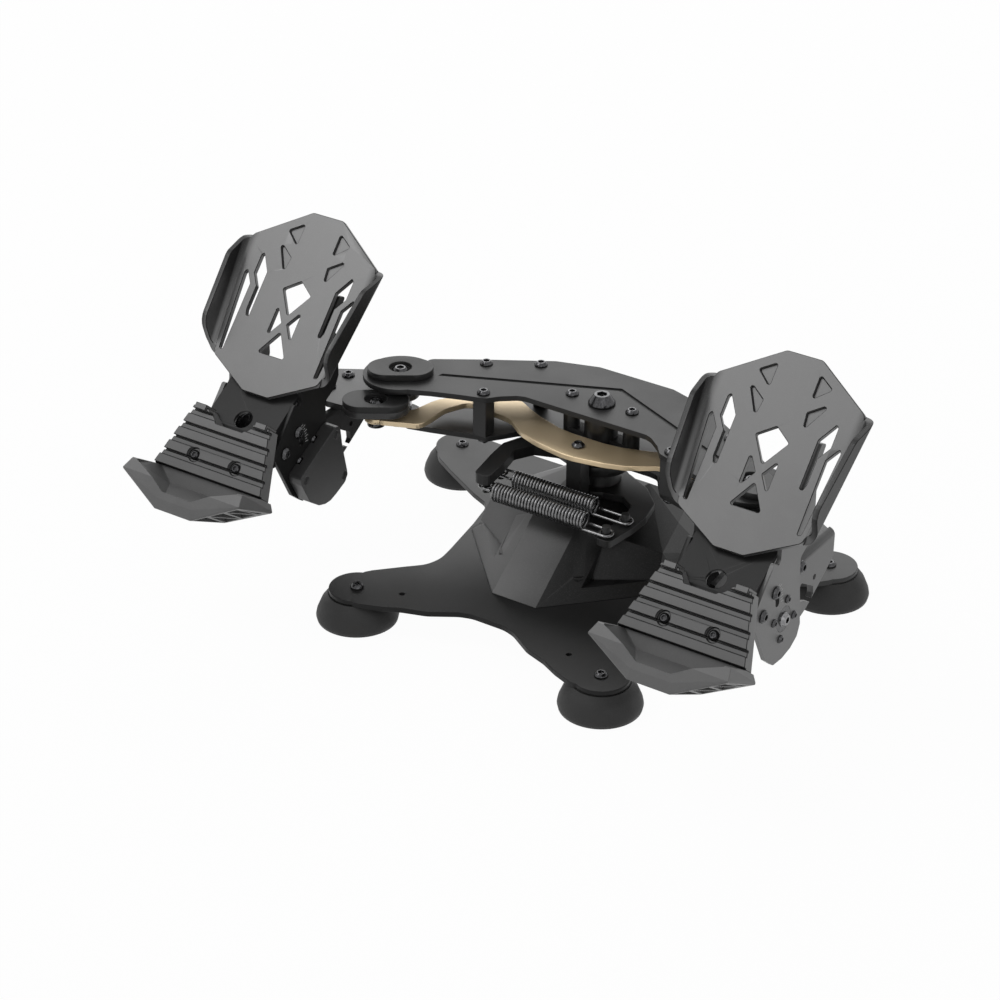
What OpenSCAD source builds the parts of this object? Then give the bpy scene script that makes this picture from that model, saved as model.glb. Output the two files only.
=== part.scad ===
// Flight simulator rudder pedals: two pedals hang on a rocker beam and a parallel link
// that turn on a star-shaped base. Pressing one pedal away brings the other one closer,
// and each pedal also tips forward on its own axle as a toe brake.
// The width runs along X, the user sits on the -Y side, and the floor is at z = 0.

/* [Overall] */
// Size of the base, its outline points are shares of this length
base_size = 100; // [90:1:110]
// Size of the rocker beam and the link, their outline points are shares of this length
rocker_size = 100; // [90:1:110]
// Size of one pedal, its outline points are shares of this length
pedal_size = 100; // [90:1:110]

/* [Plates and sheets] */
// Thickness of the cut plates of the base and the rocker beam
plate_t = 4; // [3:0.5:5]
// Thickness of the bent sheets of the pedals
sheet_t = 3; // [2:0.5:4]
// Thickness of the carrier plates that hold the pedals
carrier_t = 4.7; // [3.5:0.1:6]
// Thickness of the steering link
link_t = 4; // [3:0.5:5]
// Thickness of the plastic pads on the end pivots
pad_t = 4.8; // [4:0.1:6]

/* [Heights] */
// Height of the rubber feet below the base plate
foot_h = 21.3; // [15:0.1:30]
// Height of the rocker beam's lower face above the floor
rocker_level = 96; // [95:1:110]
// Clear space between the two plates of the rocker beam
rocker_gap = 28.2; // [27:0.1:32]

/* [Pivots] */
// Distance between the rocker pivot and the link pivot
pivot_gap = 30.3; // [28:0.1:33]
// Radius of the main shaft
shaft_r = 6; // [5:0.5:7]
// Radius of the bolts on the end pivots
end_bolt_r = 4; // [3:0.5:5]
// Radius of the axle that a pedal tips on
axle_r = 5; // [4:0.5:6]

/* [Screws] */
// Radius of a screw's shank
screw_r = 2.5; // [2:0.5:3]
// Radius of a button head
head_r = 4.75; // [4:0.25:5.5]
// Height of a button head
head_h = 2.8; // [2:0.1:3.5]

/* [Springs] */
// Outer radius of a centring spring
spring_r = 7; // [6:0.5:8]
// Radius of the spring wire
wire_r = 1.05; // [0.8:0.05:1.2]

/* [Fits] */
// Clearance between a screw or pin and the hole it is fixed in
fixed_fit = 0.1; // [0.05:0.05:0.2]
// Radial clearance of a running fit
run_fit = 0.05; // [0.02:0.01:0.1]
// Space between the faces of parts that move past each other
face_gap = 0.3; // [0.2:0.1:0.6]

/* [Hidden] */
$fn = 40;
small_fn = 16;
colour_base = [0.10, 0.10, 0.105];
colour_plate = [0.27, 0.27, 0.28];
colour_pad = [0.07, 0.07, 0.075];
colour_link = [0.76, 0.66, 0.50];
colour_bolt = [0.13, 0.13, 0.14];
colour_steel = [0.45, 0.45, 0.46];
colour_rubber = [0.05, 0.05, 0.05];
colour_spring = [0.20, 0.20, 0.21];
colour_board = [0.06, 0.20, 0.12];

// Levels, from the floor up
base_top = foot_h + plate_t;
rocker_in = rocker_level + plate_t;
rocker_under = rocker_in + rocker_gap;
rocker_top = rocker_under + plate_t;
carrier_level = rocker_in + rocker_gap * 0.525;
carrier_top = carrier_level + carrier_t;
link_level = carrier_level - link_t - rocker_gap * 0.117;
link_top = link_level + link_t;
axle_z = carrier_top - 0.202 * pedal_size;

// Pivot places, before the whole is moved to its origin
pivot_y = 1.283 * base_size;
link_pivot_y = pivot_y - pivot_gap;
end_x = 1.448 * rocker_size;
end_y = pivot_y - 0.415 * rocker_size;
pedal_x = end_x + 0.452 * pedal_size;
axle_y = end_y - 0.907 * pedal_size;
origin_y = (1.844 * base_size + 0.293 * base_size + axle_y - 1.186 * pedal_size) / 2;

// Shared sizes
column_r = 0.15 * base_size;
arm_end_r = 0.20 * base_size;
foot_r = 0.293 * base_size;
end_lobe_r = 0.27 * rocker_size;
pad_r = 0.138 * rocker_size;
pad_half = 0.101 * rocker_size;
pad_turn = 33.8;
recess_r = end_bolt_r * 2.05;
wall_x = 0.20 * pedal_size;
arm_x = 0.32 * pedal_size;
housing_x = 0.43 * pedal_size;
toe_turn = 48.31;
toe_y = 0.044 * pedal_size;
toe_z = 0.775 * pedal_size;
bend_r = 0.08 * pedal_size;
bend_slant = 5.5;

// Outline tables, right halves from front to back, as shares of the size named with them
base_shares = [[0, -0.137], [0.13, -0.137], [0.222, -0.165], [0.414, -0.287], [0.587, -0.344],
    [0.72, -0.412], [0.857, -0.463], [0.93, -0.475], [1.16, -0.153], [0.903, 0.12], [0.785, 0.239],
    [0.75, 0.362], [0.769, 0.506], [0.839, 0.903], [0.893, 1.135], [0.942, 1.206], [1.092, 1.273],
    [1.438, 1.468], [1.625, 1.582], [1.72, 1.697], [1.58, 2.043], [1.497, 2.025], [1.276, 2.012],
    [1.113, 2.007], [0.72, 2.007], [0.58, 1.90], [0, 1.90]];
front_foot_share = [1.01, -0.287];
rear_foot_share = [1.584, 1.844];
rig_hole_share = [0.693, -0.189];
nose_foot_shares = [[0.18, 0.175], [0.69, 0.72], [0.80, 0.825], [0.80, 1.0]];
nose_top_shares = [[0.18, 0.71], [0.388, 0.79], [0.35, 1.0]];
hood_shares = [[0.38, 0.62, 0.077], [0.75, 0.87, 0.077], [0.79, 0.90, 0], [0.388, 0.79, 0.299],
    [0.72, 0.97, 0.237], [0.62, 1.35, 0.267], [0.82, 1.05, 0], [0.78, 1.50, 0], [0.58, 1.83, 0],
    [0.48, 1.75, 0.24], [0.18, 0.71, 0.412], [0.28, 1.50, 0.412]];
rocker_back_shares = [[1.399, 1.167], [1.095, 1.365], [0.626, 1.653], [0.31, 1.752], [0, 1.825]];
top_front_shares = [[0, 1.06], [0.50, 1.06], [0.556, 1.039], [0.65, 0.964], [0.721, 0.879],
    [0.897, 0.824], [1.104, 0.748], [1.36, 0.63]];
bottom_front_shares = [[0, 1.12], [0.50, 1.12], [0.574, 1.109], [0.65, 1.0], [0.722, 0.907],
    [0.82, 0.886], [1.136, 0.789], [1.40, 0.72]];
groove_shares = [[1.195, 0.985], [0, 1.515], [0, 1.553], [1.19, 1.024]];
link_shares = [[0, 0.825], [0.05, 0.825], [0.28, 0.868], [0.42, 0.915], [0.51, 0.97], [0.61, 1.045],
    [0.78, 1.065], [0.96, 1.09], [1.017, 1.06], [1.087, 0.91], [1.086, 0.74], [1.10, 0.615],
    [1.41, 0.49], [1.48, 0.64], [1.277, 0.74], [1.238, 0.94], [1.21, 1.02], [1.16, 1.08],
    [1.0, 1.15], [0.885, 1.22], [0.73, 1.345], [0.59, 1.265], [0.45, 1.20], [0.25, 1.135],
    [0.11, 1.12], [0, 1.12]];
standoff_shares = [[0.776, 0.942], [0.68, 1.539], [1.017, 1.333]];
hub_screw_share = [0.249, 1.285];

// Outline tables of a right-hand pedal, as shares of pedal_size
carrier_shares = [[-0.13, -0.05], [0, 0.14], [0.20, 0.13], [0.398, 0.097], [0.56, -0.003],
    [0.652, -0.06], [0.652, -0.41], [0.42, -0.41], [0.326, -0.461], [0.184, -0.448],
    [0.03, -0.46], [-0.05, -0.20]];
wall_shares = [[0.899, 0.21], [0.894, -0.009], [0.723, -0.124], [0.545, -0.236], [0.468, -0.265],
    [0.34, -0.24], [0.16, -0.16], [0.07, -0.105], [-0.04, -0.11], [-0.11, 0], [-0.05, 0.11],
    [0.02, 0.12], [0.405, 0.202], [0.43, 0.21]];
window_shares = [[0.436, 0.011], [0.625, -0.107], [0.631, -0.164], [0.596, -0.215], [0.453, -0.144]];
arm_shares = [[-0.411, 0.324], [-0.151, 0.49], [-0.105, 0.447], [-0.081, 0.477], [-0.075, 0.57],
    [0.40, 1.10], [0.449, 1.077], [0.419, 1.037], [0.319, 0.867], [0.349, 0.797], [0.349, 0.507],
    [0.309, 0.437], [0.189, 0.367], [0.189, 0.277], [0.209, 0.037], [0.234, -0.153],
    [0.199, -0.233], [0.115, -0.281], [0.009, -0.303], [-0.111, -0.296], [-0.221, -0.203],
    [-0.421, 0.197]];
toe_shares = [[0, 0.986], [0.13, 0.986], [0.545, 0.716], [0.459, -0.178], [0.11, -0.368], [0, -0.368]];
lip_shares = [[0.80, -0.1], [0.72, -0.04], [0.69, 0], [0.52, 0.125], [-0.01, 0.17],
    [-0.12, 0], [-0.178, -0.04], [-0.3, -0.1]];
kite_shares = [[0, 0.49], [0.12, 0.405], [0, 0.227], [-0.12, 0.405]];
side_cut_shares = [[0.025, 0.167], [0.103, 0.28], [0.103, 0.052]];
low_cut_shares = [[0, 0.103], [0.115, -0.077], [-0.115, -0.077]];
inner_slot_shares = [[0.385, 0.61], [0.40, 0.59], [0.40, 0.455], [0.34, 0.367], [0.34, 0.19],
    [0.325, 0.145], [0.303, 0.15], [0.303, 0.483]];
outer_slot_shares = [[0.466, 0.466], [0.478, 0.435], [0.43, -0.13], [0.403, -0.138], [0.40, 0.37]];
upper_pocket_shares = [[0.267, 0.817], [0.154, 0.89], [0.155, 0.723]];
lower_pocket_shares = [[0.299, 0.728], [0.16, 0.631], [0.175, 0.515]];
heel_flange_shares = [[-0.15, 0.465], [-0.39, 0.305], [-0.49, 0.19], [-0.38, 0.08], [-0.23, 0.075],
    [-0.10, 0.20], [-0.06, 0.26], [-0.06, 0.40]];
pad_face_shares = [[-0.33, -0.05], [-0.20, -0.05], [-0.13, 0.03], [0.10, 0.03], [0.20, -0.05],
    [0.33, -0.05], [0.47, 0.42], [-0.47, 0.42]];
tray_shares = [[0.475, -0.965, 0.19], [0.50, -1.035, 0.145], [0.15, -1.135, -0.015], [0.14, -1.11, 0.045],
    [0.20, -0.83, -0.161], [0.18, -0.775, -0.155], [0.50, -0.69, -0.055], [0.46, -0.655, -0.01]];
bowl_shares = [[0.29, -0.80, -0.023], [0.12, -1.08, 0.035], [0.43, -0.965, 0.185], [0.44, -0.729, 0.072]];
pocket_shares = [[0.03, 0.06, 0.03, 0.90, 0.30, 0.06], [0.06, 0.95, 0.33, 0.95, 0.33, 0.14],
    [0.37, 0.06, 0.37, 0.90, 0.64, 0.06], [0.40, 0.95, 0.67, 0.95, 0.67, 0.14],
    [0.71, 0.06, 0.71, 0.90, 0.92, 0.06], [0.73, 0.97, 0.80, 0.97, 0.91, 0.18]];
housing_shares = [[0.204, 0.24], [-0.258, -0.017], [-0.248, -0.078], [-0.156, -0.253], [-0.057, -0.324],
    [0.013, -0.345], [0.077, -0.345], [0.143, -0.322], [0.262, -0.27], [0.281, -0.199], [0.25, -0.061],
    [0.228, 0.046]];
housing_screw_shares = [[0.161, 0.146], [-0.194, -0.059], [0.244, -0.216]];
arm_screw_share = [-0.131, 0.262];
arm_turn_share = [-0.286, 0.165];
heel_sheet_shares = [[-0.05, 0.502], [-0.382, 0.294], [-0.638, -0.003], [-0.661, 0.017],
    [-0.401, 0.317], [-0.066, 0.527]];

// Helpers for outlines
function sized(shares, size) = [for (p = shares) p * size];
function flipped(pts) = [for (i = [len(pts) - 1 : -1 : 0]) [-pts[i][0], pts[i][1]]];
function whole(pts) = concat(pts, flipped(pts));
function inner(pts) = [for (i = [1 : len(pts) - 2]) pts[i]];
function hex_points(r) = [for (i = [0 : 5]) [r * cos(60 * i), r * sin(60 * i)]];
function corner(a, b, c, r) =
    let (u = (a - b) / norm(a - b), v = (c - b) / norm(c - b),
        half = acos(u * v) / 2,
        reach = min(r / tan(half), 0.4 * norm(a - b), 0.4 * norm(c - b)),
        rr = reach * tan(half), middle = b + (u + v) / norm(u + v) * rr / sin(half),
        p = b + u * reach, q = b + v * reach)
    [for (t = [0 : 0.25 : 1]) let (d = p * (1 - t) + q * t - middle) middle + d / norm(d) * rr];
function rounded(pts, r) = [for (i = [0 : len(pts) - 1])
    each corner(pts[(i + len(pts) - 1) % len(pts)], pts[i], pts[(i + 1) % len(pts)], r)];

// Helpers for places
module on_base() {
    translate([0, -origin_y, 0]) children();
}
module on_both() {
    children();
    mirror([1, 0, 0]) children();
}
module on_side(side) {
    if (side > 0) children();
    else mirror([1, 0, 0]) children();
}
module at_end(side) {
    on_base() on_side(side) translate([end_x, end_y, 0]) children();
}
module at_axle(side) {
    on_base() on_side(side) translate([pedal_x, axle_y, axle_z]) children();
}
module in_toe() {
    translate([0, toe_y, toe_z]) rotate([toe_turn, 0, 0]) children();
}
// Draws a side view, y and z, and gives it a width along X
module side_view(x0, width) {
    translate([x0, 0, 0]) rotate([90, 0, 90]) linear_extrude(width) children();
}
module socket(r, depth) {
    translate([0, 0, -depth]) linear_extrude(depth * 2) polygon(hex_points(r));
}
// A button-head screw whose head stands on z = 0 and whose shank goes down
module screw(r, length, hr = head_r, hh = head_h) {
    difference() {
        union() {
            cylinder(r = hr, h = hh * 0.35, $fn = small_fn);
            translate([0, 0, hh * 0.35]) cylinder(r1 = hr, r2 = hr * 0.62, h = hh * 0.65, $fn = small_fn);
            translate([0, 0, -length]) cylinder(r = r, h = length, $fn = small_fn);
        }
        translate([0, 0, hh]) socket(hr * 0.45, hh * 0.6);
    }
}

// Base
foot_places = [front_foot_share * base_size, rear_foot_share * base_size];
cover_bosses = [[0.30, 0.52] * base_size, [0.62, 1.30] * base_size, [0.42, 1.68] * base_size];
column_screws = [[0.175 * base_size, pivot_y + 0.07 * base_size]];

module base_plate() {
    color(colour_base) on_base() translate([0, 0, foot_h]) difference() {
        linear_extrude(plate_t) union() {
            polygon(rounded(whole(sized(inner(base_shares), base_size)), 0.25 * base_size));
            on_both() for (p = foot_places) translate(p) circle(r = arm_end_r);
        }
        on_both() for (p = concat(foot_places, cover_bosses, column_screws))
            translate([p[0], p[1], -plate_t]) cylinder(r = screw_r + fixed_fit, h = plate_t * 3, $fn = 24);
        on_both() translate([rig_hole_share[0] * base_size, rig_hole_share[1] * base_size, -plate_t])
            cylinder(r = screw_r * 0.8, h = plate_t * 3, $fn = 24);
        translate([0, link_pivot_y, -plate_t]) cylinder(r = screw_r + fixed_fit, h = plate_t * 3, $fn = 24);
    }
}
module nose() {
    hull() on_both() {
        for (p = nose_foot_shares) translate([p[0] * base_size, p[1] * base_size, 0])
            cube([run_fit, run_fit, run_fit]);
        translate([nose_top_shares[0][0] * base_size, nose_top_shares[0][1] * base_size, 0.407 * base_size])
            cube([run_fit, run_fit, run_fit]);
        translate([nose_top_shares[1][0] * base_size, nose_top_shares[1][1] * base_size, 0.299 * base_size])
            cube([run_fit, run_fit, run_fit]);
        translate([nose_top_shares[2][0] * base_size, nose_top_shares[2][1] * base_size, 0.299 * base_size])
            cube([run_fit, run_fit, run_fit]);
    }
}
module hood() {
    hull() on_both() for (p = hood_shares) translate(p * base_size) cube([run_fit, run_fit, run_fit]);
}
module shell_form() {
    difference() {
        nose();
        on_both() translate([0.365 * base_size, 0.4 * base_size, 0.077 * base_size])
            cube([base_size, 0.45 * base_size, base_size]);
    }
    hood();
}
module base_cover() {
    color(colour_base) on_base() translate([0, 0, base_top]) difference() {
        union() {
            difference() {
                shell_form();
                translate([0, 1.05 * base_size, -0.01 * base_size]) scale([0.93, 0.93, 0.93])
                    translate([0, -1.05 * base_size, 0]) shell_form();
            }
            on_both() for (p = cover_bosses) translate(p)
                cylinder(r = 0.05 * base_size, h = 0.14 * base_size, $fn = 24);
        }
        on_both() for (p = cover_bosses) translate([p[0], p[1], -plate_t])
            cylinder(r = screw_r + fixed_fit, h = plate_t * 3, $fn = 24);
        translate([0, pivot_y, 0]) cylinder(r = column_r + 3 * face_gap, h = base_size);
        translate([0, link_pivot_y, base_size / 2])
            cube([0.13 * base_size, 0.13 * base_size, base_size], center = true);
        translate([-0.075 * base_size, 1.6 * base_size, 0.03 * base_size])
            cube([0.15 * base_size, 0.4 * base_size, 0.085 * base_size]);
    }
}
module rubber_feet() {
    color(colour_rubber) on_base() on_both() for (p = foot_places) translate(p) difference() {
        rotate_extrude() polygon([[0, 0], [foot_r * 0.89, 0], [foot_r * 0.976, foot_h * 0.05],
            [foot_r, foot_h * 0.19], [foot_r * 0.975, foot_h * 0.36], [foot_r * 0.87, foot_h * 0.70],
            [foot_r * 0.75, foot_h * 0.92], [foot_r * 0.71, foot_h], [0, foot_h]]);
        translate([0, 0, foot_h * 0.4]) cylinder(r = screw_r + fixed_fit, h = foot_h, $fn = 24);
    }
}
module base_screws() {
    color(colour_bolt) on_base() {
        on_both() for (p = foot_places) translate([p[0], p[1], base_top])
            screw(screw_r, plate_t + foot_h * 0.5);
        on_both() for (p = concat(cover_bosses, column_screws)) translate([p[0], p[1], foot_h])
            rotate([180, 0, 0]) screw(screw_r, plate_t * 1.9);
        translate([0, link_pivot_y, foot_h]) rotate([180, 0, 0]) screw(screw_r, plate_t * 3);
    }
}
bearing_r = shaft_r * 1.83;
bearing_h = plate_t * 2;
low_bearing_top = base_top + plate_t * 4.75;
column_top = rocker_level - plate_t * 0.875;
module pivot_column() {
    color(colour_base) on_base() translate([0, pivot_y, 0]) difference() {
        union() {
            translate([0, 0, base_top]) cylinder(r = column_r * 1.55, h = plate_t * 2);
            translate([0, 0, base_top]) cylinder(r = column_r, h = column_top - base_top);
        }
        translate([0, 0, base_top]) cylinder(r = bearing_r, h = low_bearing_top - base_top);
        translate([0, 0, base_top]) cylinder(r = bearing_r * 0.8, h = column_top);
        translate([0, 0, column_top - bearing_h]) cylinder(r = bearing_r, h = bearing_h * 2);
        on_both() translate([column_screws[0][0], column_screws[0][1] - pivot_y, base_top - plate_t])
            cylinder(r = screw_r + fixed_fit, h = plate_t * 2.4, $fn = 24);
    }
}
module column_bearings() {
    color(colour_steel) on_base() translate([0, pivot_y, 0])
        for (z = [low_bearing_top - bearing_h, column_top - bearing_h]) translate([0, 0, z]) difference() {
            cylinder(r = bearing_r - run_fit, h = bearing_h);
            translate([0, 0, -bearing_h]) cylinder(r = shaft_r + run_fit, h = bearing_h * 3);
        }
}
module link_post() {
    post = 0.12 * base_size;
    color(colour_base) on_base() translate([0, link_pivot_y, 0]) difference() {
        translate([-post / 2, -post / 2, base_top]) cube([post, post, link_level - face_gap - base_top]);
        translate([0, 0, link_level - link_t * 4])
            cylinder(r = screw_r + fixed_fit, h = link_t * 8, $fn = 24);
        translate([0, 0, base_top - post]) cylinder(r = screw_r + fixed_fit, h = post * 2, $fn = 24);
    }
}
module link_pivot_bolt() {
    color(colour_bolt) on_base() translate([0, link_pivot_y, 0]) {
        translate([0, 0, link_top + face_gap]) screw(screw_r, link_t * 4);
        translate([0, 0, link_level - face_gap]) difference() {
            cylinder(r = screw_r * 1.3, h = link_t + face_gap * 2, $fn = 24);
            translate([0, 0, -link_t]) cylinder(r = screw_r, h = link_t * 4, $fn = small_fn);
        }
    }
}
module rudder_sensor() {
    color(colour_board) on_base() translate([0, pivot_y, base_top]) {
        cylinder(r = bearing_r * 0.9, h = plate_t * 0.6);
        translate([0, 0, plate_t * 0.6]) cylinder(r = shaft_r * 0.5, h = plate_t * 0.4);
    }
}
module control_board() {
    color(colour_board) on_base() translate([0, 1.62 * base_size, base_top]) {
        on_both() for (y = [-0.05, 0.09]) translate([0.22 * base_size, y * base_size, 0])
            cylinder(r = screw_r, h = 0.035 * base_size, $fn = 24);
        translate([-0.27 * base_size, -0.09 * base_size, 0.035 * base_size])
            cube([0.54 * base_size, 0.20 * base_size, 0.016 * base_size]);
        translate([-0.06 * base_size, 0.01 * base_size, 0.051 * base_size])
            cube([0.12 * base_size, 0.16 * base_size, 0.055 * base_size]);
    }
}

// Rocker beam
standoff_places = [for (p = standoff_shares) [p[0] * rocker_size, pivot_y + (p[1] - 1.283) * rocker_size]];
hub_screw = [hub_screw_share[0] * rocker_size, pivot_y + (hub_screw_share[1] - 1.283) * rocker_size];
module on_rocker() {
    on_base() translate([0, pivot_y - 1.283 * rocker_size, 0]) children();
}
module rocker_holes() {
    on_base() on_both() {
        for (p = concat(standoff_places, [hub_screw])) translate([p[0], p[1], 0])
            cylinder(r = screw_r + fixed_fit, h = rocker_top * 2, $fn = 24);
        translate([end_x, end_y, 0]) cylinder(r = end_bolt_r + fixed_fit, h = rocker_top * 2);
    }
}
module rocker_top_plate() {
    color(colour_plate) difference() {
        union() {
            on_rocker() translate([0, 0, rocker_under]) linear_extrude(plate_t)
                polygon(rounded(
                    whole(sized(inner(concat(top_front_shares, rocker_back_shares)), rocker_size)),
                    0.06 * rocker_size));
            on_base() on_both() translate([end_x, end_y, rocker_under]) cylinder(r = end_lobe_r, h = plate_t);
        }
        rocker_holes();
        on_base() translate([0, pivot_y, rocker_in]) cylinder(r = end_bolt_r + fixed_fit, h = rocker_gap * 2);
        on_rocker() on_both() translate([0, 0, rocker_top - plate_t * 0.3]) linear_extrude(plate_t)
            polygon(sized(groove_shares, rocker_size));
    }
}
module rocker_bottom_plate() {
    color(colour_plate) difference() {
        union() {
            on_rocker() translate([0, 0, rocker_level]) linear_extrude(plate_t)
                polygon(rounded(whole(sized(inner(concat(bottom_front_shares, [for (i = [1 : 4])
                    rocker_back_shares[i]])), rocker_size)), 0.06 * rocker_size));
            on_base() on_both() translate([end_x, end_y, rocker_level])
                cylinder(r = end_lobe_r * 0.58, h = plate_t);
        }
        rocker_holes();
        on_base() translate([0, pivot_y, 0]) cylinder(r = shaft_r + fixed_fit, h = rocker_in * 2);
    }
}
module rocker_standoffs() {
    post = 0.11 * rocker_size;
    color(colour_plate) on_base() on_both() for (i = [0 : 2]) translate(standoff_places[i])
        translate([0, 0, rocker_in]) difference() {
            if (i == 0) translate([-post / 2, -post / 2, 0]) cube([post, post, rocker_gap]);
            else cylinder(r = post / 2, h = rocker_gap, $fn = 24);
            cylinder(r = screw_r + fixed_fit, h = rocker_gap * 3, center = true, $fn = 24);
        }
}
module rocker_screws() {
    color(colour_bolt) on_base() on_both() for (p = concat(standoff_places, [hub_screw]))
        translate([p[0], p[1], 0]) {
        translate([0, 0, rocker_top]) screw(screw_r, plate_t + rocker_gap * 0.35);
        translate([0, 0, rocker_level]) rotate([180, 0, 0]) screw(screw_r, plate_t + rocker_gap * 0.35);
    }
}
module pivot_hub() {
    color(colour_plate) on_base() translate([0, pivot_y, rocker_in]) difference() {
        union() {
            cylinder(r = shaft_r * 2, h = rocker_gap);
            translate([-hub_screw[0], -shaft_r, 0]) cube([hub_screw[0] * 2, shaft_r * 2, rocker_gap * 0.3]);
            on_both() translate([hub_screw[0], hub_screw[1] - pivot_y, 0])
                cylinder(r = 0.06 * rocker_size, h = rocker_gap, $fn = 24);
        }
        cylinder(r = shaft_r + fixed_fit, h = rocker_gap * 3, center = true);
        on_both() translate([hub_screw[0], hub_screw[1] - pivot_y, 0])
            cylinder(r = screw_r + fixed_fit, h = rocker_gap * 3, center = true, $fn = 24);
    }
}
module pivot_shaft() {
    color(colour_steel) on_base() translate([0, pivot_y, 0]) difference() {
        union() {
            translate([0, 0, base_top + plate_t * 1.5])
                cylinder(r = shaft_r, h = rocker_under - face_gap - base_top - plate_t * 1.5);
            translate([0, 0, column_top + face_gap])
                cylinder(r = shaft_r * 1.5, h = rocker_level - column_top - face_gap);
        }
        translate([0, 0, rocker_in + rocker_gap * 0.4]) cylinder(r = end_bolt_r + fixed_fit, h = rocker_gap);
    }
}
module pivot_bolt() {
    color(colour_bolt) on_base() translate([0, pivot_y, rocker_top]) difference() {
        union() {
            cylinder(r = head_r * 2.05, h = head_h * 0.5);
            translate([0, 0, head_h * 0.5])
                cylinder(r1 = head_r * 2.05, r2 = head_r * 1.15, h = head_h * 2.2);
            translate([0, 0, -plate_t - rocker_gap * 0.55])
                cylinder(r = end_bolt_r, h = plate_t + rocker_gap * 0.55);
        }
        translate([0, 0, head_h * 2.7]) socket(head_r * 0.8, head_h);
    }
}
module racetrack(r, h, half) {
    linear_extrude(h) rotate(-pad_turn) {
        translate([-half, 0]) circle(r = r);
        translate([half, 0]) circle(r = r);
        translate([-half, -r]) square([half * 2, r * 2]);
    }
}
module end_pad(hole) {
    difference() {
        racetrack(pad_r, pad_t, pad_half);
        translate([0, 0, -pad_t]) cylinder(r = hole, h = pad_t * 3, $fn = 24);
        translate([0, 0, pad_t * 0.35]) cylinder(r = recess_r, h = pad_t);
    }
}
module rocker_end_pads() {
    color(colour_pad) for (side = [-1, 1]) at_end(side) translate([0, 0, rocker_top])
        end_pad(end_bolt_r + fixed_fit);
}
module end_pivot_bolts() {
    color(colour_bolt) for (side = [-1, 1]) at_end(side) {
        translate([0, 0, rocker_top + pad_t * 0.35])
            screw(end_bolt_r, pad_t * 0.35 + rocker_top - rocker_level, end_bolt_r * 1.5, pad_t * 0.6);
        translate([0, 0, rocker_level - plate_t]) difference() {
            linear_extrude(plate_t) polygon(hex_points(end_bolt_r * 1.7));
            translate([0, 0, -plate_t]) cylinder(r = end_bolt_r, h = plate_t * 3, $fn = small_fn);
        }
        translate([0, 0, rocker_level - plate_t]) cylinder(r = end_bolt_r, h = plate_t, $fn = small_fn);
    }
}

// Steering link
module steering_link() {
    color(colour_link) difference() {
        union() {
            on_rocker() translate([0, 0, link_level]) linear_extrude(link_t)
                polygon(rounded(whole(sized(inner(link_shares), rocker_size)), 0.2 * rocker_size));
            on_base() on_both() translate([end_x, end_y - pivot_gap, link_level])
                cylinder(r = 0.085 * rocker_size, h = link_t);
        }
        on_base() translate([0, link_pivot_y, 0])
            cylinder(r = screw_r * 1.3 + run_fit, h = link_top * 2, $fn = 24);
        on_base() on_both() translate([end_x, end_y - pivot_gap, 0])
            cylinder(r = end_bolt_r + face_gap, h = link_top * 2, $fn = 24);
    }
}

// Carrier of one pedal, it hangs on the rocker beam and on the link
bush_r = end_bolt_r * 2;
nut_place = [0.435, 0.135] * pedal_size;
carrier_screw_places = [[-0.02, 0.859] * pedal_size, [-0.02, 0.634] * pedal_size];
flange_t = sheet_t * 1.3;

// Rounds the upper edge of a bent sheet whose corner stands at the origin
module bend_cut(r) {
    translate([-r, -pedal_size, -r]) difference() {
        cube([r * 2, pedal_size * 3, r * 2]);
        rotate([-90, 0, 0]) translate([0, 0, -r]) cylinder(r = r, h = pedal_size * 4);
    }
}
module carrier_plate(side) {
    color(colour_plate) difference() {
        union() {
            at_end(side) translate([0, 0, carrier_level]) {
                linear_extrude(carrier_t) union() {
                    polygon(rounded(sized(carrier_shares, pedal_size), 0.03 * pedal_size));
                    circle(r = pad_r);
                }
                translate([0, -pivot_gap, 0]) racetrack(pad_r, carrier_t, pad_half);
            }
            at_axle(side) side_view(wall_x - carrier_t, carrier_t) polygon(sized(wall_shares, pedal_size));
            at_axle(side) side_view(wall_x - carrier_t * 2, carrier_t) translate(nut_place)
                circle(r = screw_r * 1.7);
        }
        at_end(side) {
            cylinder(r = bush_r + run_fit, h = rocker_top * 2);
            translate([0, -pivot_gap, 0]) cylinder(r = end_bolt_r + fixed_fit, h = rocker_top * 2, $fn = 24);
        }
        at_axle(side) {
            for (p = carrier_screw_places) translate([p[0], p[1], 0])
                cylinder(r = screw_r + fixed_fit, h = pedal_size, $fn = 24);
            side_view(0, arm_x) {
                circle(r = axle_r + fixed_fit);
                polygon(rounded(sized(window_shares, pedal_size), 0.02 * pedal_size));
                translate([0.638, -0.043] * pedal_size) circle(r = screw_r * 0.8, $fn = 24);
                translate(nut_place) circle(r = screw_r + fixed_fit, $fn = 24);
            }
            translate([wall_x, 0, carrier_top - axle_z]) bend_cut(0.05 * pedal_size);
        }
    }
}
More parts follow.
